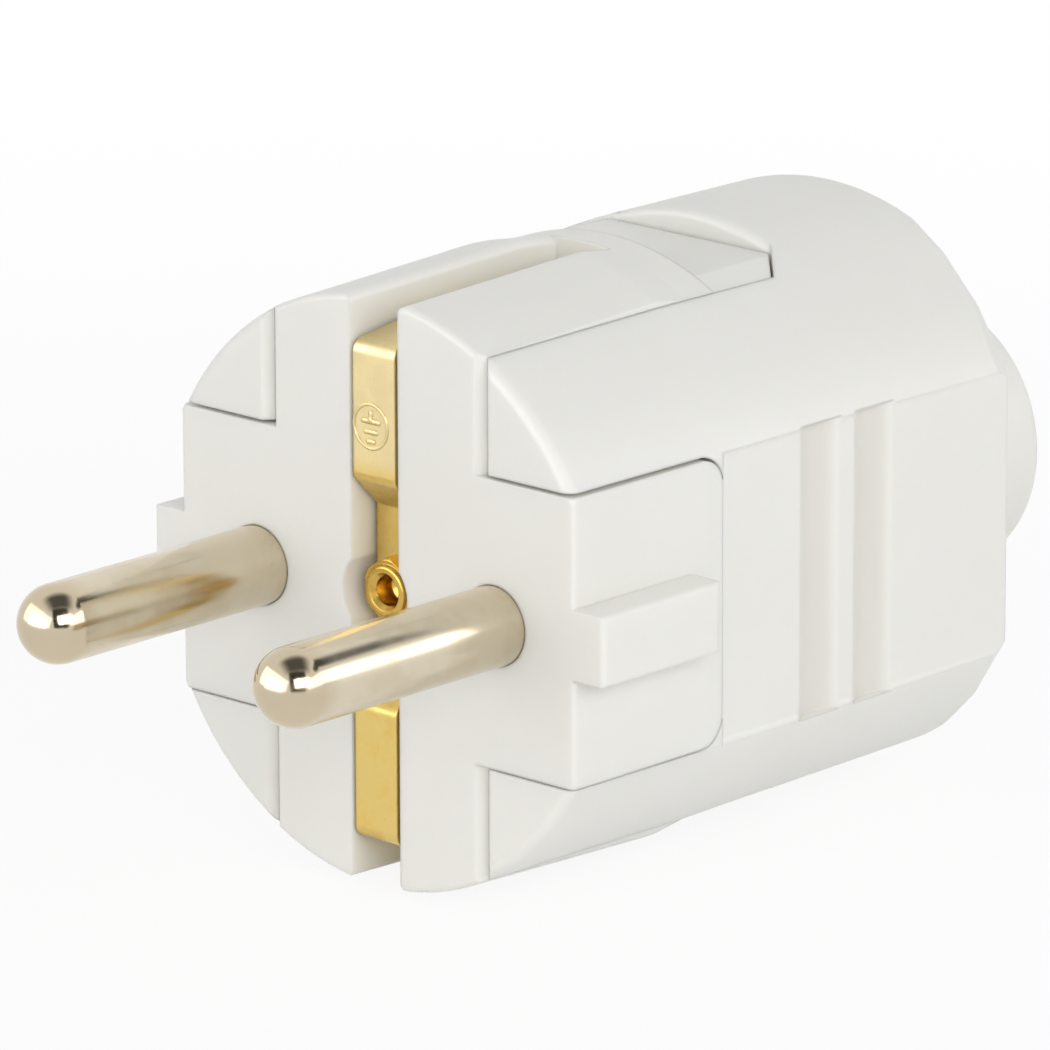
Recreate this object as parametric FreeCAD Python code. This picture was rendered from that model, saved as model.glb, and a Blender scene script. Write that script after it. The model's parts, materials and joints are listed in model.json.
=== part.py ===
import FreeCAD, Part
import math
import os
from FreeCAD import Vector

# Frame: origin at the centre of the engagement face, +X from pin to pin, +Y back to the cord entry, +Z up.

# Plug pins with their wire terminals
pin_spacing = 19.0
pin_diameter = 4.8
pin_length = 19.0
pin_neck_undercut = 0.02
pin_root_rise = 0.4
pin_lip = 1.2
pin_fit = 0.03
pin_head_wall = 2.0
pin_head_length = 9.5
pin_head_gap = 0.3
wire_hole_diameter = 3.0
wire_hole_depth = 8.0
terminal_thread_diameter = 3.0
terminal_head_diameter = 4.6
terminal_head_height = 1.9
terminal_screw_setback = 4.6
terminal_screw_stand = 0.8
terminal_tip_height = 0.75
driver_slot_width = 0.8
driver_slot_depth = 0.9

# Outer form of the body, turned about the Y axis
face_radius = 17.9
face_edge_round = 0.4
ring_rise = 0.45
ring_length = 15.0
ring_taper = 2.6
waist_rise = 0.13
rear_fall = 0.08
rear_edge_round = 2.0
rear_round_angles = (34.0, 46.0, 58.0)
rear_round_high = 3.2
rear_round_middle = 4.1
rear_round_low = 4.8
rear_dome_rise = 1.0
boss_length = 9.2
boss_wall = 3.9
boss_draft = 0.7
boss_edge_round = 1.0
cord_bore_diameter = 9.4
cord_bore_flare = 0.9

# Base: front wall, side blocks, upper and lower tongues, barriers beside the earth terminal
front_wall = 9.0
bar_half_width = 8.5
bar_edge_chamfer = 0.6
tongue_wall = 1.7
tongue_sink = 0.31
tongue_flat_depth = 1.27
tongue_flat_length = 7.3
tongue_end_chamfer = 2.2
block_proud = 0.28
block_half_height = 8.7
block_length = 12.85
block_rear_round = 1.8
block_front_round = 0.25
rib_height = 2.32
rib_half_height = 2.15
rib_end_gap = 2.75
rib_edge_round = 0.3
barrier_thickness = 1.0
barrier_length = 10.0
barrier_height = 5.6

# Seams between base and cover
seam = 0.025
block_gap_top = 0.22
block_gap_bottom = 0.12
tongue_end_gap = 0.2

# Cover
cover_wall = 2.1
cover_edge_round = 0.7
lobe_front_wall = 2.5
rear_wall = 2.4
window_edge_round = 0.5
side_chamfer_length = 2.7
side_chamfer_width = 3.3
grip_sink = 0.3
grip_edge_height = 0.25
grip_cove_radius = 0.5
scallop_wall = 1.59
scallop_width = 3.45
scallop_depth = 0.56
scallop_pitch = 4.8
scallop_start = 7.1
scallop_count = 2

# Earth contact and earth terminal
slot_side_gap = 0.27
slot_length = 17.8
slot_end_wall = 2.3
slot_edge_round = 0.5
slot_mouth_sink = 0.01
strap_width = 3.3
strap_thickness = 1.0
strap_recess = 2.8
strap_end_gap = 1.2
strap_bow = 0.9
strap_bow_place = 7.0
strap_bend_radius = 0.8
pad_inner_end = 6.9
strap_dip = 1.9
dip_slope_height = 2.0
rivet_flats = 3.6
rivet_head_height = 0.85
rivet_chamfer = 0.21
rivet_rim_diameter = 3.2
rivet_rim_height = 0.28
rivet_rim_round = 0.24
rivet_mouth_flare = 0.3
rivet_shank_diameter = 2.8
rivet_hole_diameter = 1.75
rivet_hole_depth = 1.3
rivet_hole_point = 0.45
rivet_tail_diameter = 4.2
rivet_tail_height = 0.7
rivet_fit = 0.05
rivet_pocket_gap = 0.52
earth_plate_thickness = 1.2
earth_plate_margin = 0.6
earth_plate_side_gap = 0.7
earth_washer_side = 6.6
earth_washer_thickness = 1.0
earth_washer_gap = 0.8
earth_thread_diameter = 3.5
earth_screw_bite = 4.0
earth_head_diameter = 6.0
earth_head_height = 2.2

# Tail of the base, with the cord clamp and the cover screw
tail_thickness = 2.4
tail_end_gap = 0.5
clamp_setback = 3.1
clamp_post_gap = 0.6
clamp_post_wall = 1.35
clamp_gap_height = 6.8
clamp_bar_width = 7.0
clamp_bar_thickness = 2.6
clamp_bar_round = 2.5
clamp_end_gap = 0.3
clamp_ridge_drop = 0.9
clamp_ridge_width = 1.6
clamp_ridge_end_gap = 1.2
clamp_screw_diameter = 2.9
clamp_screw_bite = 7.0
clamp_head_diameter = 5.4
clamp_head_height = 1.9
cover_screw_setback = 0.3
cover_screw_diameter = 3.0
cover_screw_bite = 6.0
cover_screw_head_diameter = 5.6
cover_screw_head_height = 1.7
cover_screw_sink = 0.3
cover_post_wall = 2.0
cover_seat_thickness = 1.4
screw_hole_gap = 0.1
screw_tip_room = 1.0
screw_thread_gap = 0.03

# Reach of the cutting tools, and the size below which two places count as one
far = 60.0
over = 1.0
tiny = 1e-6
x_axis = Vector(1, 0, 0)
y_axis = Vector(0, 1, 0)
z_axis = Vector(0, 0, 1)

# Radii that follow from the engagement face
ring_radius = face_radius + ring_rise
waist_radius = face_radius + waist_rise
rear_radius = face_radius - rear_fall
cavity_radius = rear_radius - cover_wall
tongue_flat_radius = waist_radius - tongue_sink
tongue_flat_height = tongue_flat_radius - tongue_flat_depth
strap_reach = face_radius - strap_recess
strap_floor = strap_reach - strap_thickness
tongue_inner_height = strap_floor - tongue_wall

# Widths that follow from the pins and their terminals
pin_half_spacing = pin_spacing / 2
pin_radius = pin_diameter / 2
pin_root_radius = pin_radius + pin_root_rise
pin_head_radius = wire_hole_diameter / 2 + pin_head_wall
barrier_outer = pin_half_spacing - pin_head_radius - pin_head_gap
barrier_inner = barrier_outer - barrier_thickness
cavity_half_width = pin_half_spacing + pin_head_radius + pin_head_gap
grip_half_width = cavity_half_width + scallop_wall + scallop_depth
side_half_width = grip_half_width + grip_sink
block_half_width = grip_half_width + block_proud
rib_half_width = block_half_width + rib_height
grip_half_height = block_half_height + grip_edge_height
slot_half_width = strap_width / 2 + slot_side_gap

# Lengths from the face to the end of the boss
strap_dip_back = strap_thickness + strap_dip
waist_start = ring_length + ring_taper
tongue_flat_start = slot_length + slot_end_wall
tongue_length = tongue_flat_start + tongue_flat_length
window_end = tongue_length + tongue_end_gap
cover_post_radius = cover_screw_diameter / 2 + cover_post_wall
cover_screw_place = window_end + cover_post_radius + cover_screw_setback
clamp_place = cover_screw_place + clamp_setback
tail_end = clamp_place + clamp_bar_width / 2 + clamp_end_gap
cavity_end = tail_end + tail_end_gap
rear_face = cavity_end + rear_wall
boss_end = rear_face + boss_length
boss_tip_radius = cord_bore_diameter / 2 + boss_wall
boss_root_radius = boss_tip_radius + boss_draft
first_scallop = block_length + scallop_start
rib_length = block_length - rib_end_gap
terminal_screw_place = front_wall + terminal_screw_setback

# Earth terminal, cord clamp and cover screw
earth_screw_height = rivet_tail_diameter / 2 + earth_washer_gap + earth_washer_side / 2
earth_plate_back = front_wall + earth_plate_thickness
clamp_post_radius = clamp_screw_diameter / 2 + clamp_post_wall
clamp_half_spacing = cord_bore_diameter / 2 + clamp_post_radius + clamp_post_gap / 2
clamp_half_length = clamp_half_spacing + clamp_head_diameter / 2
clamp_ridge_half_span = cord_bore_diameter / 2 - clamp_ridge_end_gap
tail_half_width = clamp_half_spacing + clamp_post_radius
tail_top = -pin_head_radius - pin_head_gap
clamp_seat = tail_top + clamp_gap_height
cover_head_seat = rear_radius - cover_screw_sink - cover_screw_head_height
cover_seat = cover_head_seat - cover_seat_thickness


def box(low, high):
    return Part.makeBox(high[0] - low[0], high[1] - low[1], high[2] - low[2], Vector(*low))


def line(a, b):
    return Part.LineSegment(Vector(*a), Vector(*b)).toShape()


def arc(a, through, b):
    return Part.Arc(Vector(*a), Vector(*through), Vector(*b)).toShape()


def turned(edges):
    return Part.Face(Part.Wire(edges)).revolve(Vector(0, 0, 0), y_axis, 360)


def plan_prism(points, low, high):
    # Upright prism on an outline seen from above
    corners = [Vector(x, y, low) for x, y in points]
    return Part.Face(Part.makePolygon(corners + corners[:1])).extrude(Vector(0, 0, high - low))


def rod(radius, start, end):
    # Round rod from one point to another
    run = Vector(*end) - Vector(*start)
    return Part.makeCylinder(radius, run.Length, Vector(*start), run)


def mirrored(shape, axis):
    return shape.mirror(Vector(0, 0, 0), axis)


def both_sides(shape, axis):
    return shape.fuse(mirrored(shape, axis))


def middle(edge):
    return edge.valueAt((edge.FirstParameter + edge.LastParameter) / 2)


def runs_along(edge, axis):
    ends = [v.Point for v in edge.Vertexes]
    if len(ends) < 2:
        return False
    run = ends[1] - ends[0]
    return abs(run.dot(axis)) > run.Length - tiny


def fillet_where(shape, radius, wanted):
    # Rounds the edges that pass the test
    return shape.makeFillet(radius, [e for e in shape.Edges if wanted(e)])


def corner_arc(centre_radius, centre_y, radius, start_angle, end_angle):
    # Arc in the turning plane; angles run from the radial direction towards +Y
    angles = [math.radians(a) for a in (start_angle, (start_angle + end_angle) / 2, end_angle)]
    points = [(centre_radius + radius * math.cos(a), centre_y + radius * math.sin(a), 0) for a in angles]
    return arc(*points), points[0], points[-1]


def body_envelope(proud_radius, edge_round):
    # Full outer form without the boss, as one turned solid
    front_round, face_edge, side_start = corner_arc(
        face_radius - edge_round, edge_round, edge_round, -90, 0)
    ring_end = (proud_radius, ring_length, 0)
    waist = (waist_radius, waist_start, 0)
    rear_round, shoulder, rear_rim = corner_arc(
        rear_radius - rear_edge_round, rear_face - rear_edge_round, rear_edge_round, 0, 90)
    dome = (boss_root_radius, rear_face + rear_dome_rise, 0)
    dome_centre = (0, rear_face + rear_dome_rise, 0)
    origin = (0, 0, 0)
    return turned([
        line(origin, face_edge), front_round, line(side_start, ring_end), line(ring_end, waist),
        line(waist, shoulder), rear_round, line(rear_rim, dome), line(dome, dome_centre),
        line(dome_centre, origin)])


def cord_boss():
    # Turned collar around the cord entry
    tip_round, side_end, tip = corner_arc(
        boss_tip_radius - boss_edge_round, boss_end - boss_edge_round, boss_edge_round, 0, 90)
    root = (boss_root_radius, rear_face, 0)
    root_inside = (boss_root_radius, cavity_end, 0)
    centre_inside = (0, cavity_end, 0)
    centre_tip = (0, boss_end, 0)
    return turned([
        line(centre_inside, root_inside), line(root_inside, root), line(root, side_end), tip_round,
        line(tip, centre_tip), line(centre_tip, centre_inside)])


def side_flats():
    # Tall block with the flat sides of the cover, chamfered towards the rear face
    start = rear_face - side_chamfer_length
    inner = side_half_width - side_chamfer_width
    return plan_prism([
        (-side_half_width, -far), (side_half_width, -far), (side_half_width, start), (inner, rear_face),
        (inner, far), (-inner, far), (-inner, rear_face), (-side_half_width, start)], -far, far)


def rounding_prism(half_width, round_radius):
    # Tall block with straight flanks and round rear corners, seen from above
    start = rear_face - round_radius
    inner = half_width - round_radius
    bend = round_radius * math.sqrt(0.5)
    plan = Part.Face(Part.Wire([
        line((-half_width, -far, -far), (half_width, -far, -far)),
        line((half_width, -far, -far), (half_width, start, -far)),
        arc((half_width, start, -far), (inner + bend, start + bend, -far), (inner, rear_face, -far)),
        line((inner, rear_face, -far), (inner, far, -far)),
        line((inner, far, -far), (-inner, far, -far)),
        line((-inner, far, -far), (-inner, rear_face, -far)),
        arc((-inner, rear_face, -far), (-inner - bend, start + bend, -far), (-half_width, start, -far)),
        line((-half_width, start, -far), (-half_width, -far, -far))]))
    return plan.extrude(Vector(0, 0, 2 * far))


def earth_slot():
    # Slot that the strap lies in, open to the front, the top and the bottom
    dip_end = pad_inner_end - dip_slope_height
    points = [
        (-far, -over), (strap_dip_back, -over), (strap_dip_back, dip_end), (strap_thickness, pad_inner_end),
        (strap_thickness, strap_floor), (slot_length, strap_floor), (slot_length, far), (-far, far)]
    corners = [Vector(-slot_half_width, y, z) for y, z in points]
    half = Part.Face(Part.makePolygon(corners + corners[:1])).extrude(Vector(2 * slot_half_width, 0, 0))
    return both_sides(half, z_axis)


def slot_mouth():
    # Rounded mouth of the slot: one section carried along the outer form, at the top and the bottom
    edge = slot_half_width + slot_edge_round
    bend = slot_edge_round * math.sqrt(0.5)
    stations = [(-over, face_radius), (face_edge_round, face_radius), (ring_length, ring_radius),
                (waist_start, waist_radius), (rear_face - rear_edge_round, rear_radius)]
    sections = []
    for y, radius in stations:
        top = math.sqrt(radius ** 2 - edge ** 2) - slot_mouth_sink
        low = top - slot_edge_round
        sections.append(Part.Wire([
            line((-slot_half_width, y, low - over), (slot_half_width, y, low - over)),
            line((slot_half_width, y, low - over), (slot_half_width, y, low)),
            arc((slot_half_width, y, low), (edge - bend, y, low + bend), (edge, y, top)),
            line((edge, y, top), (edge + over, y, top)),
            line((edge + over, y, top), (edge + over, y, far)),
            line((edge + over, y, far), (-edge - over, y, far)),
            line((-edge - over, y, far), (-edge - over, y, top)),
            line((-edge - over, y, top), (-edge, y, top)),
            arc((-edge, y, top), (bend - edge, y, low + bend), (-slot_half_width, y, low)),
            line((-slot_half_width, y, low), (-slot_half_width, y, low - over))]))
    mouth = Part.makeLoft(sections, True, True).common(box((-far, -far, 0), (far, slot_length, far)))
    return both_sides(mouth, z_axis)


def bar_outline(length, end_chamfer):
    # Bar seen from above, with chamfered corners at the face and at the rear end
    front = bar_half_width - bar_edge_chamfer
    rear = bar_half_width - end_chamfer
    side_end = length - end_chamfer
    return [
        (-front, 0), (front, 0), (bar_half_width, bar_edge_chamfer), (bar_half_width, side_end),
        (rear, length), (-rear, length), (-bar_half_width, side_end), (-bar_half_width, bar_edge_chamfer)]


def tongue():
    # Upper bar from the face to the cover's window, with a sunk flat behind the slot
    bar = plan_prism(bar_outline(tongue_length, tongue_end_chamfer), tongue_inner_height, far)
    flat = box((-far, tongue_flat_start, tongue_flat_height), (far, far, far))
    behind = rod(far, (0, tongue_flat_start, 0), (0, far, 0))
    sunk = behind.cut(rod(tongue_flat_radius, (0, tongue_flat_start, 0), (0, far, 0)))
    return bar.cut([flat, sunk])


def side_block():
    # Right-hand block with round rear corners and a softened front edge
    block = box((cavity_half_width, 0, -block_half_height),
                (block_half_width, block_length, block_half_height))
    block = fillet_where(block, block_rear_round,
                         lambda e: runs_along(e, x_axis) and middle(e).y > block_length - tiny)
    return fillet_where(block, block_front_round,
                        lambda e: runs_along(e, z_axis) and middle(e).y < tiny
                        and middle(e).x > block_half_width - tiny)


def side_rib():
    rib = box((cavity_half_width, 0, -rib_half_height), (rib_half_width, rib_length, rib_half_height))
    return fillet_where(rib, rib_edge_round, lambda e: middle(e).x > rib_half_width - tiny)


def base_front():
    # Cross-shaped front with its tongues and side blocks, cut to the outer form
    bar = plan_prism(bar_outline(front_wall, bar_edge_chamfer), -far, far)
    cross = box((-cavity_half_width, 0, -block_half_height),
                (cavity_half_width, front_wall, block_half_height))
    tongues = both_sides(tongue(), z_axis)
    blocks = both_sides(side_block(), x_axis)
    return bar.fuse([cross, tongues, blocks]).common(body_envelope(ring_radius, face_edge_round))


def base_tail():
    # Plate behind the front wall with barriers, clamp posts and the post for the cover screw
    plate = box((-tail_half_width, front_wall, tail_top - tail_thickness),
                (tail_half_width, tail_end, tail_top))
    barrier = box((barrier_inner, front_wall, tail_top),
                  (barrier_outer, front_wall + barrier_length, barrier_height))
    post = rod(clamp_post_radius, (clamp_half_spacing, clamp_place, tail_top),
               (clamp_half_spacing, clamp_place, clamp_seat))
    cover_post = rod(cover_post_radius, (0, cover_screw_place, tail_top - tail_thickness),
                     (0, cover_screw_place, -cover_seat))
    return [plate, both_sides(barrier, x_axis), both_sides(post, x_axis), cover_post]


def base_solid():
    base = base_front().fuse([both_sides(side_rib(), x_axis)] + base_tail())
    neck_bore = rod(pin_radius + pin_fit, (pin_half_spacing, -over, 0), (pin_half_spacing, front_wall, 0))
    root_bore = rod(pin_root_radius + pin_fit, (pin_half_spacing, pin_lip, 0),
                    (pin_half_spacing, front_wall + over, 0))
    rivet_pocket = rod(rivet_flats / math.sqrt(3) + rivet_pocket_gap, (0, -over, 0), (0, strap_dip_back, 0))
    rivet_bore = rod(rivet_shank_diameter / 2 + rivet_fit, (0, 0, 0), (0, front_wall + over, 0))
    earth_bore = rod(earth_thread_diameter / 2 + screw_thread_gap,
                     (0, front_wall - earth_screw_bite - screw_tip_room, earth_screw_height),
                     (0, front_wall + over, earth_screw_height))
    clamp_bore = rod(clamp_screw_diameter / 2 + screw_thread_gap,
                     (clamp_half_spacing, clamp_place, clamp_seat - clamp_screw_bite - screw_tip_room),
                     (clamp_half_spacing, clamp_place, clamp_seat + over))
    cover_bore = rod(cover_screw_diameter / 2 + screw_thread_gap, (0, cover_screw_place, -far),
                     (0, cover_screw_place, cover_screw_bite + screw_tip_room - cover_seat))
    return base.cut([
        earth_slot(), slot_mouth(), both_sides(neck_bore, x_axis), both_sides(root_bore, x_axis),
        rivet_pocket, rivet_bore, earth_bore, both_sides(clamp_bore, x_axis), cover_bore]).removeSplitter()


def cover_outside():
    # Outer form with the boss, flat sides and a rounded rear edge
    sides = side_flats()
    for angle, radius in zip(rear_round_angles, (rear_round_high, rear_round_middle, rear_round_low)):
        for turn in (90 - angle, angle - 90):
            corners = rounding_prism(waist_radius, radius)
            corners.rotate(Vector(0, 0, 0), y_axis, turn)
            sides = sides.common(corners)
    boss_room = rod(boss_root_radius, (0, cavity_end, 0), (0, far, 0))
    return body_envelope(waist_radius, cover_edge_round).fuse(cord_boss()).common(sides.fuse(boss_room))


def scallop(start):
    # Finger hold: an upright round groove as high as the panel
    radius = (scallop_width ** 2 / 4 + scallop_depth ** 2) / (2 * scallop_depth)
    x = grip_half_width - scallop_depth + radius
    y = start + scallop_width / 2
    return rod(radius, (x, y, -grip_half_height), (x, y, grip_half_height))


def grip_cuts():
    # Sunk panel with coved edges and upright scallops on the right-hand side
    panel = box((grip_half_width, block_length, -grip_half_height), (far, far, grip_half_height))
    panel = fillet_where(panel, grip_cove_radius,
                         lambda e: runs_along(e, y_axis) and middle(e).x < grip_half_width + tiny)
    return panel.fuse([scallop(first_scallop + n * scallop_pitch) for n in range(scallop_count)])


def cover_cavity():
    # Inside of the cover, leaving a seat for the post of the base
    room = rod(cavity_radius, (0, lobe_front_wall, 0), (0, cavity_end, 0))
    room = room.common(box((-cavity_half_width, 0, -far), (cavity_half_width, far, far)))
    return room.cut(rod(cover_post_radius, (0, cover_screw_place, -far), (0, cover_screw_place, -cover_seat)))


def lobe_chamfers():
    # Chamfers on the front edges of the lobes, along both walls of the bar
    wedge = plan_prism([
        (bar_half_width, -over), (bar_half_width + bar_edge_chamfer + over, -over),
        (bar_half_width, bar_edge_chamfer)], -far, far)
    return both_sides(wedge, x_axis)


def tongue_window():
    # Way of the tongue into the cover, with chamfered rear corners
    half_width = bar_half_width + seam
    rear = half_width - tongue_end_chamfer
    side_end = window_end - tongue_end_chamfer
    return plan_prism([
        (-half_width, -over), (half_width, -over), (half_width, side_end), (rear, window_end),
        (-rear, window_end), (-half_width, side_end)], -far, far)


def cover_solid():
    block_way = box((-far, -over, -block_half_height - block_gap_bottom),
                    (far, block_length + seam, block_half_height + block_gap_top))
    block_way = fillet_where(block_way, block_rear_round + block_gap_bottom,
                             lambda e: runs_along(e, x_axis) and middle(e).y > block_length)
    cord_bore = rod(cord_bore_diameter / 2, (0, cavity_end - over, 0), (0, boss_end, 0))
    flare = Part.makeCone(cord_bore_diameter / 2, cord_bore_diameter / 2 + cord_bore_flare, cord_bore_flare,
                          Vector(0, boss_end - cord_bore_flare, 0), y_axis)
    screw_way = rod(cover_screw_diameter / 2 + screw_hole_gap, (0, cover_screw_place, -far),
                    (0, cover_screw_place, over - cover_seat))
    head_way = rod(cover_screw_head_diameter / 2 + screw_hole_gap, (0, cover_screw_place, -far),
                   (0, cover_screw_place, -cover_head_seat))
    cover = cover_outside().cut([
        both_sides(grip_cuts(), x_axis), cover_cavity(), tongue_window(), lobe_chamfers(), block_way,
        cord_bore, flare, screw_way, head_way]).removeSplitter()
    return fillet_where(
        cover, window_edge_round,
        lambda e: abs(middle(e).y - window_end) < tiny and abs(middle(e).x) < tiny
        and abs(middle(e).z) > tongue_flat_radius)


def pin_solid():
    # Right-hand pin: round tip, neck inside the lip, root in the wall and a drilled head behind it
    centre = pin_half_spacing
    head_end = front_wall + pin_head_length
    tip = Part.makeSphere(pin_radius, Vector(centre, pin_radius - pin_length, 0))
    shaft = rod(pin_radius, (centre, pin_radius - pin_length, 0), (centre, 0, 0))
    neck = rod(pin_radius - pin_neck_undercut, (centre, 0, 0), (centre, pin_lip, 0))
    root = rod(pin_root_radius, (centre, pin_lip, 0), (centre, front_wall, 0))
    head = rod(pin_head_radius, (centre, front_wall, 0), (centre, head_end, 0))
    wire_hole = rod(wire_hole_diameter / 2, (centre, head_end - wire_hole_depth, 0), (centre, head_end, 0))
    thread = rod(terminal_thread_diameter / 2 + screw_thread_gap, (centre, terminal_screw_place, 0),
                 (centre, terminal_screw_place, pin_head_radius + over))
    return tip.fuse([shaft, neck, root, head]).cut([wire_hole, thread]).removeSplitter()


def slotted_screw(thread_radius, length, head_radius, head_height):
    # Screw along +Z: tip at the origin, slotted head above the shank
    shank = rod(thread_radius, (0, 0, 0), (0, 0, length))
    head = rod(head_radius, (0, 0, length), (0, 0, length + head_height))
    slot_floor = length + head_height - driver_slot_depth
    slot = box((-far, -driver_slot_width / 2, slot_floor), (far, driver_slot_width / 2, far))
    return shank.fuse(head).cut(slot).removeSplitter()


def terminal_screws():
    length = pin_head_radius + terminal_screw_stand - terminal_tip_height
    screw = slotted_screw(terminal_thread_diameter / 2, length,
                          terminal_head_diameter / 2, terminal_head_height)
    screw.translate(Vector(pin_half_spacing, terminal_screw_place, terminal_tip_height))
    return Part.makeCompound([screw, mirrored(screw, x_axis)])


def strap_solid():
    # One strip bent in the YZ plane: top run, front pad and dipped middle, with the same mirrored below
    end = slot_length - strap_end_gap
    dip_end = pad_inner_end - dip_slope_height
    outline = [
        (end, strap_reach), (strap_bow_place, strap_reach + strap_bow), (0, strap_reach), (0, pad_inner_end),
        (strap_dip, dip_end), (strap_dip, 0), (strap_dip_back, 0), (strap_dip_back, dip_end),
        (strap_thickness, pad_inner_end), (strap_thickness, strap_floor),
        (strap_bow_place, strap_floor + strap_bow), (end, strap_floor)]
    corners = [Vector(-strap_width / 2, y, z) for y, z in outline]
    half = Part.Face(Part.makePolygon(corners + corners[:1])).extrude(Vector(strap_width, 0, 0))
    half = fillet_where(half, strap_bend_radius, lambda e: runs_along(e, x_axis) and middle(e).y < tiny)
    hole = rod(rivet_shank_diameter / 2 + rivet_fit, (0, 0, 0), (0, front_wall, 0))
    return both_sides(half, z_axis).cut(hole).removeSplitter()


def rivet_solid():
    # Hexagonal head with a round rim on the strap, shank through the wall, upset tail behind the plate
    head_front = strap_dip - rivet_head_height
    rim_front = head_front - rivet_rim_height
    corner = rivet_flats / math.sqrt(3)
    angles = [math.radians(30 + 60 * n) for n in range(7)]
    corners = [Vector(corner * math.cos(a), head_front, corner * math.sin(a)) for a in angles]
    head = Part.Face(Part.makePolygon(corners)).extrude(Vector(0, rivet_head_height, 0))
    front_radius = corner - rivet_chamfer
    head = head.common(Part.makeCone(front_radius, front_radius + rivet_head_height, rivet_head_height,
                                     Vector(0, head_front, 0), y_axis))
    shank = rod(rivet_shank_diameter / 2, (0, strap_dip, 0), (0, earth_plate_back, 0))
    tail_back = earth_plate_back + rivet_tail_height
    tail = rod(rivet_tail_diameter / 2, (0, earth_plate_back, 0), (0, tail_back, 0))
    rim = fillet_where(rod(rivet_rim_diameter / 2, (0, rim_front, 0), (0, head_front, 0)), rivet_rim_round,
                       lambda e: e.Closed and middle(e).y < rim_front + tiny)
    hole_end = head_front + rivet_hole_depth
    hole = rod(rivet_hole_diameter / 2, (0, rim_front, 0), (0, hole_end, 0))
    mouth = Part.makeCone(rivet_hole_diameter / 2 + rivet_mouth_flare, rivet_hole_diameter / 2,
                          rivet_mouth_flare, Vector(0, rim_front, 0), y_axis)
    point = Part.makeCone(rivet_hole_diameter / 2, 0, rivet_hole_point, Vector(0, hole_end, 0), y_axis)
    return head.fuse([rim, shank, tail]).cut([hole, mouth, point]).removeSplitter()


def earth_plate():
    half_width = barrier_inner - earth_plate_side_gap
    low = -rivet_tail_diameter / 2 - earth_plate_margin
    high = earth_screw_height + earth_washer_side / 2 + earth_plate_margin
    plate = box((-half_width, front_wall, low), (half_width, earth_plate_back, high))
    rivet_hole = rod(rivet_shank_diameter / 2 + rivet_fit, (0, 0, 0), (0, far, 0))
    screw_hole = rod(earth_thread_diameter / 2 + screw_thread_gap, (0, 0, earth_screw_height),
                     (0, far, earth_screw_height))
    return plate.cut([rivet_hole, screw_hole])


def earth_washer():
    half = earth_washer_side / 2
    washer = box((-half, earth_plate_back, earth_screw_height - half),
                 (half, earth_plate_back + earth_washer_thickness, earth_screw_height + half))
    hole = rod(earth_thread_diameter / 2 + screw_hole_gap, (0, 0, earth_screw_height),
               (0, far, earth_screw_height))
    return washer.cut(hole)


def earth_screw():
    length = earth_screw_bite + earth_plate_thickness + earth_washer_thickness
    screw = slotted_screw(earth_thread_diameter / 2, length, earth_head_diameter / 2, earth_head_height)
    screw.rotate(Vector(0, 0, 0), x_axis, -90)
    screw.translate(Vector(0, front_wall - earth_screw_bite, earth_screw_height))
    return screw


def clamp_bar():
    front = clamp_place - clamp_bar_width / 2
    back = clamp_place + clamp_bar_width / 2
    bar = box((-clamp_half_length, front, clamp_seat),
              (clamp_half_length, back, clamp_seat + clamp_bar_thickness))
    bar = fillet_where(bar, clamp_bar_round, lambda e: runs_along(e, z_axis))
    ridges = [box((-clamp_ridge_half_span, y, clamp_seat - clamp_ridge_drop),
                  (clamp_ridge_half_span, y + clamp_ridge_width, clamp_seat))
              for y in (front, back - clamp_ridge_width)]
    hole = rod(clamp_screw_diameter / 2 + screw_hole_gap, (clamp_half_spacing, clamp_place, -far),
               (clamp_half_spacing, clamp_place, far))
    return bar.fuse(ridges).cut(both_sides(hole, x_axis)).removeSplitter()


def clamp_screws():
    screw = slotted_screw(clamp_screw_diameter / 2, clamp_screw_bite + clamp_bar_thickness,
                          clamp_head_diameter / 2, clamp_head_height)
    screw.translate(Vector(clamp_half_spacing, clamp_place, clamp_seat - clamp_screw_bite))
    return Part.makeCompound([screw, mirrored(screw, x_axis)])


def cover_screw():
    length = cover_seat_thickness + cover_screw_bite
    screw = slotted_screw(cover_screw_diameter / 2, length,
                          cover_screw_head_diameter / 2, cover_screw_head_height)
    screw.rotate(Vector(0, 0, 0), x_axis, 180)
    screw.translate(Vector(0, cover_screw_place, length - cover_head_seat))
    return screw


pin_right = pin_solid()
nodes = {
    "base": base_solid(),
    "rear_cover": cover_solid(),
    "pin_right": pin_right,
    "pin_left": mirrored(pin_right, x_axis),
    "pin_terminal_screws": terminal_screws(),
    "earth_strap": strap_solid(),
    "earth_rivet": rivet_solid(),
    "earth_terminal_plate": earth_plate(),
    "earth_clamp_washer": earth_washer(),
    "earth_terminal_screw": earth_screw(),
    "cord_clamp_bar": clamp_bar(),
    "cord_clamp_screws": clamp_screws(),
    "cover_screw": cover_screw(),
}
os.makedirs("parts", exist_ok=True)
for name, shape in nodes.items():
    shape.exportStep("parts/" + name + ".step")
    print(name, "valid", shape.isValid(), "solids", len(shape.Solids), "volume", round(shape.Volume, 1))
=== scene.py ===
import json
import math
import bpy
import numpy as np
from mathutils import Matrix, Vector


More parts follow.
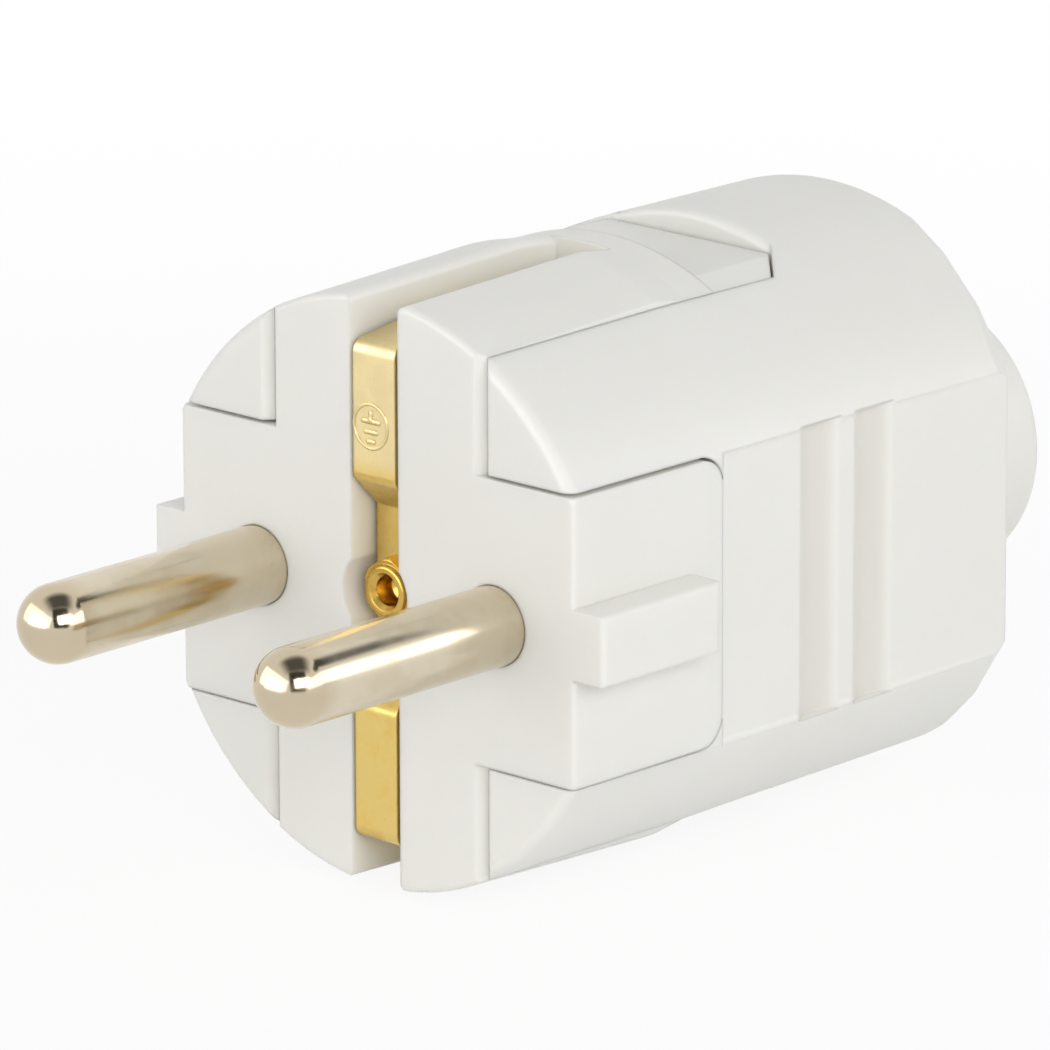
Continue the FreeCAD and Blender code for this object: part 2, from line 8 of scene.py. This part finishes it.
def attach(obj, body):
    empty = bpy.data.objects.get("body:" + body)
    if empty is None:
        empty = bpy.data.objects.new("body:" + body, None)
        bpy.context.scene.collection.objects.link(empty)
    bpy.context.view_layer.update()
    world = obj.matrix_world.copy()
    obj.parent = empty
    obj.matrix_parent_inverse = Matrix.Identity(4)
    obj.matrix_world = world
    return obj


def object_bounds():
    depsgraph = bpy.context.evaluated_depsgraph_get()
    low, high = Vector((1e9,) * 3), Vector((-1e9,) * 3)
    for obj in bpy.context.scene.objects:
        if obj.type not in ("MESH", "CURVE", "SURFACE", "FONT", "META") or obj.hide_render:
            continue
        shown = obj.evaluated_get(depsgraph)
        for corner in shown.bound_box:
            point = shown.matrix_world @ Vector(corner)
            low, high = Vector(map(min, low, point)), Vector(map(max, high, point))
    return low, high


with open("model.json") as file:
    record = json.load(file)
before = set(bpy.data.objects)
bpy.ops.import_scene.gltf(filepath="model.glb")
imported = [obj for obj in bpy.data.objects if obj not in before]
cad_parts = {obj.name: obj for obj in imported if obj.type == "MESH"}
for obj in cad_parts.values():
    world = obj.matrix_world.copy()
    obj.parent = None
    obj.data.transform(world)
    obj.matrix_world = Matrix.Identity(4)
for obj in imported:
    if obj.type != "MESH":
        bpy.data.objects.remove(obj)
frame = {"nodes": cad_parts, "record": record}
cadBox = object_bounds()
nodes = frame["nodes"]
scene = bpy.context.scene
scene.view_settings.view_transform = "Standard"
mm = 0.001
print("frame loaded:", len(nodes), "nodes")


class Wire:
    # A socket that can be added, multiplied and so on; each step adds one Math node
    def __init__(self, finish, socket):
        self.finish = finish
        self.socket = socket

    def step(self, operation, first, second):
        return self.finish.node("ShaderNodeMath", {"operation": operation}, {0: first, 1: second})

    def __add__(self, other): return self.step("ADD", self, other)
    def __radd__(self, other): return self.step("ADD", other, self)
    def __sub__(self, other): return self.step("SUBTRACT", self, other)
    def __rsub__(self, other): return self.step("SUBTRACT", other, self)
    def __mul__(self, other): return self.step("MULTIPLY", self, other)
    def most(self, other): return self.step("MAXIMUM", self, other)
    def least(self, other): return self.step("MINIMUM", self, other)


class Finish:
    # One material and its node tree
    def __init__(self, name, tree=None):
        if tree is None:
            self.material = bpy.data.materials.new(name)
            self.material.use_nodes = True
            tree = self.material.node_tree
        self.tree = tree
        tree.nodes.clear()

    def node(self, kind, settings=None, inputs=None, out=0):
        made = self.tree.nodes.new(kind)
        for key, value in (settings or {}).items():
            setattr(made, key, value)
        for key, value in (inputs or {}).items():
            if isinstance(value, Wire):
                self.tree.links.new(value.socket, made.inputs[key])
            else:
                made.inputs[key].default_value = value
        return Wire(self, made.outputs[out]) if made.outputs else None

    def seenDirectly(self):
        # 1 for what the camera, a mirror or a clear body sees, 0 for light that only falls on a surface
        rays = [self.node("ShaderNodeLightPath", out=kind)
                for kind in ("Is Camera Ray", "Is Glossy Ray", "Is Transmission Ray")]
        return rays[0].most(rays[1]).most(rays[2])

    def place(self, scale=(1, 1, 1)):
        # Object coordinates in millimetres; a pattern is drawn out along an axis of small scale
        where = self.node("ShaderNodeTexCoord", out="Object")
        inMm = tuple(s / mm for s in scale)
        return self.node("ShaderNodeMapping", {"vector_type": "POINT"}, {"Vector": where, "Scale": inMm})

    def part(self, vector, axis):
        # One coordinate of a vector: 0 is x, 1 is y and 2 is z
        return self.node("ShaderNodeSeparateXYZ", None, {0: vector}, out=axis)

    def noise(self, vector, grain, detail=3.0, rough=0.55):
        # grain is the size of one patch, in millimetres of the given place
        return self.node("ShaderNodeTexNoise", {"noise_dimensions": "3D"},
                         {"Vector": vector, "Scale": 1 / grain, "Detail": detail, "Roughness": rough})

    def spread(self, value, low, high):
        # Levels from low to high drawn out to 0 and 1
        return self.node("ShaderNodeMapRange", {"interpolation_type": "SMOOTHSTEP"},
                         {"Value": value, "From Min": low, "From Max": high})

    def blendColour(self, share, first, second):
        # Inputs 6 and 7 and output 2 are the colour sockets of a Mix node
        ends = [c if isinstance(c, Wire) else (*c, 1) for c in (first, second)]
        return self.node("ShaderNodeMix", {"data_type": "RGBA"}, {0: share, 6: ends[0], 7: ends[1]}, out=2)

    def rounded(self, radius, samples=6):
        # Normals that round off sharp edges, radius in millimetres
        return self.node("ShaderNodeBevel", {"samples": samples}, {"Radius": radius * mm})

    def show(self, shader):
        self.node("ShaderNodeOutputMaterial", None, {"Surface": shader})
        return self.material

    def surface(self, values):
        return self.show(self.node("ShaderNodeBsdfPrincipled", None, values))


# Moulded plastic of the base and the cover: near-white, satin, with a fine mould grain
plasticLook = {
    # The darker tone serves both the real dust patches and the painted shade in the finger holds
    "white": (0.865, 0.86, 0.82), "cloud": (0.845, 0.837, 0.79), "dustAndShadeTone": (0.66, 0.63, 0.55),
    "cloudSize": 9.0, "cloudLevels": (0.36, 0.66), "cloudShare": 0.5,
    "grainSize": 0.16, "flowSize": 1.1, "flowStretch": 0.22,
    "dustSize": 2.4, "dustLevels": (0.66, 0.8), "dustShare": 0.10,
    "roughness": 0.36, "roughnessSwing": 0.12, "grainRoughness": 0.08,
    "bump": 0.5, "grainHeight": 0.006, "grainShare": 0.6, "flowShare": 0.4, "edgeRound": 0.28,
    # Finger holds of the cover, in millimetres: panel plane, reach along the plug, half height, darkness of
    # the painted shade, depths over which the painted shade sets in, depths over which it ends, soft edge
    "panel": 15.45, "holds": (19.6, 28.6), "holdHeight": 8.9, "holdShade": 0.42,
    "holdDepth": (0.02, 0.5), "holdEnd": (1.0, 0.7), "holdEdge": 0.1,
    "ior": 1.5, "inner": 0.3, "innerReach": (1.0, 0.9, 0.75), "innerScale": 1.2,
}


def plasticFinish(name, look):
    f = Finish(name)
    where = f.place()
    flowPlace = f.place(scale=(1, look["flowStretch"], 1))
    cloud = f.spread(f.noise(where, look["cloudSize"], 4.0), *look["cloudLevels"])
    grain = f.noise(where, look["grainSize"], 2.0)
    flow = f.noise(flowPlace, look["flowSize"], 3.0)
    colour = f.blendColour(cloud * look["cloudShare"], look["white"], look["cloud"])
    # A little darkening in patches where dust stays
    dustAndShade = f.spread(f.noise(where, look["dustSize"], 5.0, 0.65), *look["dustLevels"]) * look["dustShare"]
    # Painted shade in the finger holds, where shade falls: darker the deeper they lie behind the panel,
    # joined to the dust patches
    x, y, z = (f.part(where, axis) for axis in (0, 1, 2))
    out, high = x.most(0 - x), z.most(0 - z)
    deep = f.spread(look["panel"] - out, *look["holdDepth"])
    deep = deep * f.spread(out, *(look["panel"] - end for end in look["holdEnd"]))
    along = (y - look["holds"][0]).least(look["holds"][1] - y)
    inside = f.spread(along.least(look["holdHeight"] - high), 0.0, look["holdEdge"])
    dustAndShade = dustAndShade.most(deep * inside * look["holdShade"])
    colour = f.blendColour(dustAndShade, colour, look["dustAndShadeTone"])
    rough = look["roughness"] + (flow - 0.5) * look["roughnessSwing"] + (grain - 0.5) * look["grainRoughness"]
    normal = f.node("ShaderNodeBump", None, {
        "Strength": look["bump"], "Distance": look["grainHeight"] * mm,
        "Height": grain * look["grainShare"] + flow * look["flowShare"],
        "Normal": f.rounded(look["edgeRound"])})
    return f.surface({"Base Color": colour, "Roughness": rough, "Normal": normal, "IOR": look["ior"],
                      "Subsurface Weight": look["inner"], "Subsurface Radius": look["innerReach"],
                      "Subsurface Scale": look["innerScale"] * mm})


# Nickel-plated pins: warm grey, tumbled smooth, with fine marks along the pin
nickelLook = {
    "bright": (0.69, 0.615, 0.475), "dull": (0.61, 0.52, 0.38),
    "patchSize": 3.2, "patchLevels": (0.4, 0.68), "patchShare": 0.55,
    "roughness": 0.16, "patchRoughness": 0.072, "markRoughness": 0.07,
    # The tip tone and its share are painted shade on the tips, standing for the shadowed floor they reflect
    "tip": (14.8, 16.8), "tipShade": (0.57, 0.475, 0.33), "tipShadeShare": 0.7, "tipRoughness": -0.1,
    "markSize": 0.18, "markStretch": 0.09, "markHeight": 0.005, "markBump": 0.4,
    "markShare": 0.6, "grainSize": 0.11, "grainShare": 0.9,
    "waveSize": 2.2, "waveHeight": 0.006, "waveBump": 0.5,
}


def nickelFinish(name, look):
    f = Finish(name)
    where = f.place()
    marks = f.noise(f.place(scale=(1, look["markStretch"], 1)), look["markSize"], 4.0, 0.7)
    patches = f.spread(f.noise(where, look["patchSize"], 4.0), *look["patchLevels"])
    grain = f.noise(where, look["grainSize"], 2.0)
    wave = f.noise(where, look["waveSize"], 1.5)
    colour = f.blendColour(patches * look["patchShare"], look["bright"], look["dull"])
    # The tips are worn smooth by the contacts; their colour is also darker and warmer towards the tip, a
    # painted shade for the shadowed floor they reflect: y falls to the tip
    tipRamp = f.spread(0 - f.part(where, 1), *look["tip"])
    colour = f.blendColour(tipRamp * look["tipShadeShare"], colour, look["tipShade"])
    rough = look["roughness"] + marks * look["markRoughness"] + patches * look["patchRoughness"]
    rough = rough + tipRamp * look["tipRoughness"]
    fine = f.node("ShaderNodeBump", None, {
        "Strength": look["markBump"], "Distance": look["markHeight"] * mm,
        "Height": marks * look["markShare"] + grain * look["grainShare"]})
    normal = f.node("ShaderNodeBump", None, {
        "Strength": look["waveBump"], "Distance": look["waveHeight"] * mm, "Height": wave, "Normal": fine})
    return f.surface({"Base Color": colour, "Roughness": rough, "Metallic": 1.0, "Normal": normal})


# Rolled brass of the earth strip and the inner plate
brassLook = {
    "bright": (0.72, 0.54, 0.18), "dull": (0.60, 0.40, 0.10),
    "patchSize": 1.7, "patchLevels": (0.42, 0.72), "patchShare": 0.6,
    # The paler tone high on the contact face, its heights and its share are a painted highlight
    "padHighlight": (0.77, 0.65, 0.38), "padHighlightHeights": (6.8, 8.4), "padHighlightShare": 0.8,
    "speck": (0.42, 0.27, 0.06), "speckSize": 0.22, "speckLevels": (0.66, 0.76), "speckShare": 0.45,
    "rollSize": 0.09, "rollStretch": 0.07, "rollLevels": (0.56, 0.76), "rollTone": 0.3,
    "roughness": 0.26, "roughnessSwing": 0.16, "rollRoughness": 0.1,
    "bump": 0.5, "rollHeight": 0.011, "rollShare": 0.5, "dentSize": 0.7, "dentShare": 1.4, "edgeRound": 0.22,
}
# The rivet is turned from a deeper brass
rivetLook = dict(brassLook, bright=(0.62, 0.405, 0.095), dull=(0.51, 0.31, 0.06), roughness=0.16,
                 edgeRound=0.12)


def brassFinish(name, look):
    f = Finish(name)
    where = f.place()
    rolls = f.noise(f.place(scale=(1, 1, look["rollStretch"])), look["rollSize"], 4.0, 0.7)
    patches = f.spread(f.noise(where, look["patchSize"], 5.0, 0.6), *look["patchLevels"])
    dents = f.noise(where, look["dentSize"], 2.0)
    colour = f.blendColour(patches * look["patchShare"], look["bright"], look["dull"])
    # The upper contact face is painted paler towards the top: a painted highlight standing in for the bright,
    # bleached reflection it catches
    padHighlight = f.spread(f.part(where, 2), *look["padHighlightHeights"])
    colour = f.blendColour(padHighlight * look["padHighlightShare"], colour, look["padHighlight"])
    # A few brown specks of tarnish, and faint lines left by the rolls
    specks = f.spread(f.noise(where, look["speckSize"], 2.0), *look["speckLevels"]) * look["speckShare"]
    lines = f.spread(rolls, *look["rollLevels"]) * look["rollTone"]
    colour = f.blendColour(specks.most(lines), colour, look["speck"])
    rough = look["roughness"] + rolls * look["rollRoughness"] + patches * look["roughnessSwing"]
    normal = f.node("ShaderNodeBump", None, {
        "Strength": look["bump"], "Distance": look["rollHeight"] * mm,
        "Height": rolls * look["rollShare"] + dents * look["dentShare"],
        "Normal": f.rounded(look["edgeRound"])})
    return f.surface({"Base Color": colour, "Roughness": rough, "Metallic": 1.0, "Normal": normal})


# Zinc-plated screws and washer
screwLook = {
    "bright": (0.62, 0.62, 0.60), "dull": (0.44, 0.44, 0.43), "patchSize": 1.1, "patchLevels": (0.4, 0.7),
    "roughness": 0.28, "markRoughness": 0.18,
    "markSize": 0.12, "markStretch": 0.3, "markHeight": 0.005, "bump": 0.4, "edgeRound": 0.12,
}


def screwFinish(name, look):
    f = Finish(name)
    marks = f.noise(f.place(scale=(1, 1, look["markStretch"])), look["markSize"], 4.0, 0.7)
    patches = f.spread(f.noise(f.place(), look["patchSize"], 4.0), *look["patchLevels"])
    colour = f.blendColour(patches, look["bright"], look["dull"])
    rough = look["roughness"] + marks * look["markRoughness"]
    normal = f.node("ShaderNodeBump", None, {
        "Strength": look["bump"], "Distance": look["markHeight"] * mm, "Height": marks,
        "Normal": f.rounded(look["edgeRound"], 4)})
    return f.surface({"Base Color": colour, "Roughness": rough, "Metallic": 1.0, "Normal": normal})


# Cord clamp bar: the same plastic, duller and a little greyer
clampLook = dict(plasticLook, white=(0.70, 0.69, 0.65), cloud=(0.66, 0.65, 0.60), roughness=0.5)

finishes = {
    "white_plastic": plasticFinish("whitePlastic", plasticLook),
    "nickel": nickelFinish("nickelPlate", nickelLook),
    "brass": brassFinish("rolledBrass", brassLook),
    "screw_steel": screwFinish("zincScrew", screwLook),
    "clamp_plastic": plasticFinish("clampPlastic", clampLook),
}
rivetFinish = brassFinish("turnedBrass", rivetLook)
for entry in frame["record"]["subparts"]:
    piece = nodes[entry["node"]]
    piece.data.materials.clear()
    finish = rivetFinish if entry["node"] == "earth_rivet" else finishes[entry["material_slot"]]
    piece.data.materials.append(finish)
print("finishes set:", len(finishes))


def addMesh(name, points, faces, slot):
    mesh = bpy.data.meshes.new(name)
    mesh.from_pydata(points.tolist(), [], faces)
    mesh.polygons.foreach_set("use_smooth", np.ones(len(faces), dtype=bool))
    mesh.update()
    piece = bpy.data.objects.new(name, mesh)
    scene.collection.objects.link(piece)
    piece.data.materials.append(finishes[slot])
    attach(piece, "root")


def gridFaces(rows, columns):
    # Quads of a grid that closes on itself both ways
    i, j = np.meshgrid(np.arange(rows), np.arange(columns), indexing="ij")
    a = i * columns + j
    b = i * columns + (j + 1) % columns
    c = ((i + 1) % rows) * columns + (j + 1) % columns
    d = ((i + 1) % rows) * columns + j
    return np.stack([a, b, c, d], -1).reshape(-1, 4)


# Stamped earth sign on the upper contact face: a circle, a stem and three bars of falling width
signLook = {
    "centre": (-0.25, 0.0, 10.13), "circle": 1.33, "circleHalf": 0.12, "barHalf": 0.18, "rise": 0.055,
    "around": 96, "across": 12, "cap": 8,
    "bars": [((0.0, 0.98), (0.0, 0.3)), ((-0.8, 0.3), (0.8, 0.3)), ((-0.6, -0.34), (0.6, -0.34)),
             ((-0.4, -0.92), (0.4, -0.92))],
}


def signCircle(look):
    # Ring: a flat ellipse (half width, rise) carried round the circle in the XZ plane
    turn = np.linspace(0, 2 * np.pi, look["around"], endpoint=False)[:, None]
    way = np.linspace(0, 2 * np.pi, look["across"], endpoint=False)[None, :]
    radius = look["circle"] + look["circleHalf"] * np.cos(way)
    x = radius * np.cos(turn)
    z = radius * np.sin(turn)
    y = look["rise"] * np.sin(way) + 0 * turn
    return np.stack([x, y, z], -1).reshape(-1, 3), [gridFaces(look["around"], look["across"])]


def signBar(look, ends):
    # Bar: a flat ellipse carried along a line, its size falling to nothing at both ends in a quarter circle
    first, last = np.array(ends[0]), np.array(ends[1])
    run = last - first
    length = np.linalg.norm(run)
    side = np.array([-run[1], run[0]]) / length
    half = look["barHalf"]
    bend = np.linspace(-np.pi / 2, 0, look["cap"] + 1)[1:]
    along = np.concatenate([half + half * np.sin(bend), length - half - half * np.sin(bend[::-1])])
    size = np.concatenate([np.cos(bend), np.cos(bend[::-1])])[:, None]
    way = np.linspace(0, 2 * np.pi, look["across"], endpoint=False)[None, :]
    centre = first + run / length * along[:, None]
    wide = half * size * np.cos(way)
    x = centre[:, :1] + side[0] * wide
    z = centre[:, 1:] + side[1] * wide
    y = -look["rise"] * size * np.sin(way)
    rings = np.stack([x, y, z], -1).reshape(-1, 3)
    points = np.concatenate([rings, [[first[0], 0, first[1]], [last[0], 0, last[1]]]])
    rows, columns = len(along), look["across"]
    wall = gridFaces(rows, columns)[: (rows - 1) * columns]
    # A fan of triangles closes each end on its pole
    j = np.arange(columns)
    after = (j + 1) % columns
    lastRow = (rows - 1) * columns
    start, stop = np.full(columns, rows * columns), np.full(columns, rows * columns + 1)
    startCap = np.stack([start, after, j], -1)
    stopCap = np.stack([stop, lastRow + j, lastRow + after], -1)
    return points, [wall, startCap, stopCap]


def earthSign(look):
    points, faces = np.zeros((0, 3)), []
    for shape, blocks in [signCircle(look)] + [signBar(look, ends) for ends in look["bars"]]:
        for block in blocks:
            faces += (block + len(points)).tolist()
        points = np.concatenate([points, shape])
    addMesh("earthSign", (points + np.array(look["centre"])) * mm, faces, "brass")


earthSign(signLook)
print("earth sign made")


# Floor: white to the camera further out, and nearer the part dull enough to keep its shadow
stageLook = {"floorSize": 6.0, "floorGlow": 0.9, "floorColour": (0.95, 0.95, 0.95), "fade": (0.06, 0.22)}


def floorFinish(look):
    f = Finish("paleFloor")
    where = f.node("ShaderNodeTexCoord", out="Object")
    away = f.node("ShaderNodeVectorMath", {"operation": "LENGTH"}, {0: where}, out="Value")
    clear = f.spread(away, *look["fade"])
    plain = f.node("ShaderNodeBsdfDiffuse", None, {"Color": (*look["floorColour"], 1)})
    white = f.node("ShaderNodeEmission", None, {"Color": (1, 1, 1, 1), "Strength": 1.0})
    share = f.seenDirectly() * (look["floorGlow"] + clear * (1 - look["floorGlow"]))
    return f.show(f.node("ShaderNodeMixShader", None, {0: share, 1: plain, 2: white}))


def makeFloor(look):
    half = look["floorSize"] / 2
    low = cadBox[0].z
    mesh = bpy.data.meshes.new("floor")
    mesh.from_pydata([(-half, -half, low), (half, -half, low), (half, half, low), (-half, half, low)], [],
                     [(0, 1, 2, 3)])
    floor = bpy.data.objects.new("floor", mesh)
    scene.collection.objects.link(floor)
    mesh.materials.append(floorFinish(look))


makeFloor(stageLook)

# World: white to the camera and in reflections, a plain level on diffuse surfaces
worldLook = {"light": 0.525, "seen": 1.0}
world = bpy.data.worlds.new("studio")
world.use_nodes = True
scene.world = world
w = Finish("studio", world.node_tree)
level = worldLook["light"] + w.seenDirectly() * (worldLook["seen"] - worldLook["light"])
w.node("ShaderNodeOutputWorld", None,
       {"Surface": w.node("ShaderNodeBackground", None, {"Color": (1, 1, 1, 1), "Strength": level})})

# Soft lamps: name, azimuth and elevation seen from the object, distance, width, height, watts
lamps = [("rightLamp", 68, 25, 0.9, 0.7, 0.4, 3.4), ("leftLamp", -17, 12, 0.9, 1.0, 0.5, 1.9)]


lampTarget = Vector((0, 0.01, 0))


def outlook(azimuth, elevation):
    # Directions for something that stands there and faces the part: away from it, to its right, and up
    a, e = math.radians(azimuth), math.radians(elevation)
    back = Vector((math.sin(a) * math.cos(e), -math.cos(a) * math.cos(e), math.sin(e)))
    right = Vector((math.cos(a), math.sin(a), 0))
    return back, right, back.cross(right)


for name, azimuth, elevation, distance, width, height, watts in lamps:
    data = bpy.data.lights.new(name, "AREA")
    data.shape = "RECTANGLE"
    data.size, data.size_y = width, height
    data.energy = watts
    lamp = bpy.data.objects.new(name, data)
    lamp.location = outlook(azimuth, elevation)[0] * distance
    lamp.rotation_mode = "QUATERNION"
    lamp.rotation_quaternion = (lamp.location - lampTarget).to_track_quat("Z", "Y")
    scene.collection.objects.link(lamp)

# Cards that only reflections see: azimuth, elevation, distance, width, height, level, and the share of
# a half side over which they fade
cards = {
    "leftSoftCard": (-24, 21, 1.5, 3.2, 1.1, 2.2, 0.06),
    "rightSoftCard": (114, 19, 1.5, 1.9, 0.68, 2.5, 0.12),
    "frontCard": (55, 30, 1.3, 1.15, 1.5, 0.05, 0.15), "roofCard": (60, 80, 1.2, 2.0, 1.8, 0.12, 0.7),
    "rearCard": (150, 42, 1.2, 1.0, 0.3, 0.08, 0.45),
}


def cardFinish(name, level, soft):
    # Emission that fades to nothing towards the edges of the card
    f = Finish(name)
    where = f.node("ShaderNodeTexCoord", out="UV")
    shares = []
    for side in (0, 1):
        across = f.part(where, side) * 2
        shares.append(f.spread(across.least(2 - across), 0.0, soft))
    glow = f.node("ShaderNodeEmission", None, {"Color": (1, 1, 1, 1), "Strength": level})
    clear = f.node("ShaderNodeBsdfTransparent")
    return f.show(f.node("ShaderNodeMixShader", None, {0: shares[0] * shares[1], 1: clear, 2: glow}))


for name, (azimuth, elevation, distance, width, height, level, soft) in cards.items():
    back, right, up = outlook(azimuth, elevation)
    corners = [back * distance + right * (sx * width / 2) + up * (sy * height / 2)
               for sx, sy in ((-1, -1), (1, -1), (1, 1), (-1, 1))]
    mesh = bpy.data.meshes.new(name)
    mesh.from_pydata([tuple(c) for c in corners], [], [(0, 1, 2, 3)])
    mesh.uv_layers.new(name="UVMap").data.foreach_set("uv", [0, 0, 1, 0, 1, 1, 0, 1])
    mesh.materials.append(cardFinish(name, level, soft))
    card = bpy.data.objects.new(name, mesh)
    scene.collection.objects.link(card)
    card.visible_camera = False
    card.visible_diffuse = False
    card.visible_shadow = False
    card.visible_transmission = False
print("stage lit")

# Camera: the photograph's place and angle, turned to the middle of its frame
cameraLook = {"azimuth": 43.67, "elevation": 16.15, "roll": -0.38, "distance": 0.6012, "focalPixels": 10306.4,
              "originPixel": (374.87, 594.89), "frame": 1050}


def makeCamera(look):
    back, right, up = outlook(look["azimuth"], look["elevation"])
    c, s = math.cos(math.radians(look["roll"])), math.sin(math.radians(look["roll"]))
    right, up = c * right + s * up, c * up - s * right
    half = look["frame"] / 2
    offX = (half - look["originPixel"][0]) / look["focalPixels"]
    offY = (look["originPixel"][1] - half) / look["focalPixels"]
    axisBack = (back - right * offX - up * offY).normalized()
    axisRight = (right - axisBack * right.dot(axisBack)).normalized()
    axisUp = axisBack.cross(axisRight)
    data = bpy.data.cameras.new("photoCamera")
    data.sensor_width = 36.0
    data.lens = look["focalPixels"] / look["frame"] * data.sensor_width
    data.clip_start, data.clip_end = 0.01, 100.0
    camera = bpy.data.objects.new("photoCamera", data)
    turn = Matrix((axisRight, axisUp, axisBack)).transposed().to_4x4()
    camera.matrix_world = Matrix.Translation(back * look["distance"]) @ turn
    scene.collection.objects.link(camera)
    scene.camera = camera


makeCamera(cameraLook)
print("camera set")
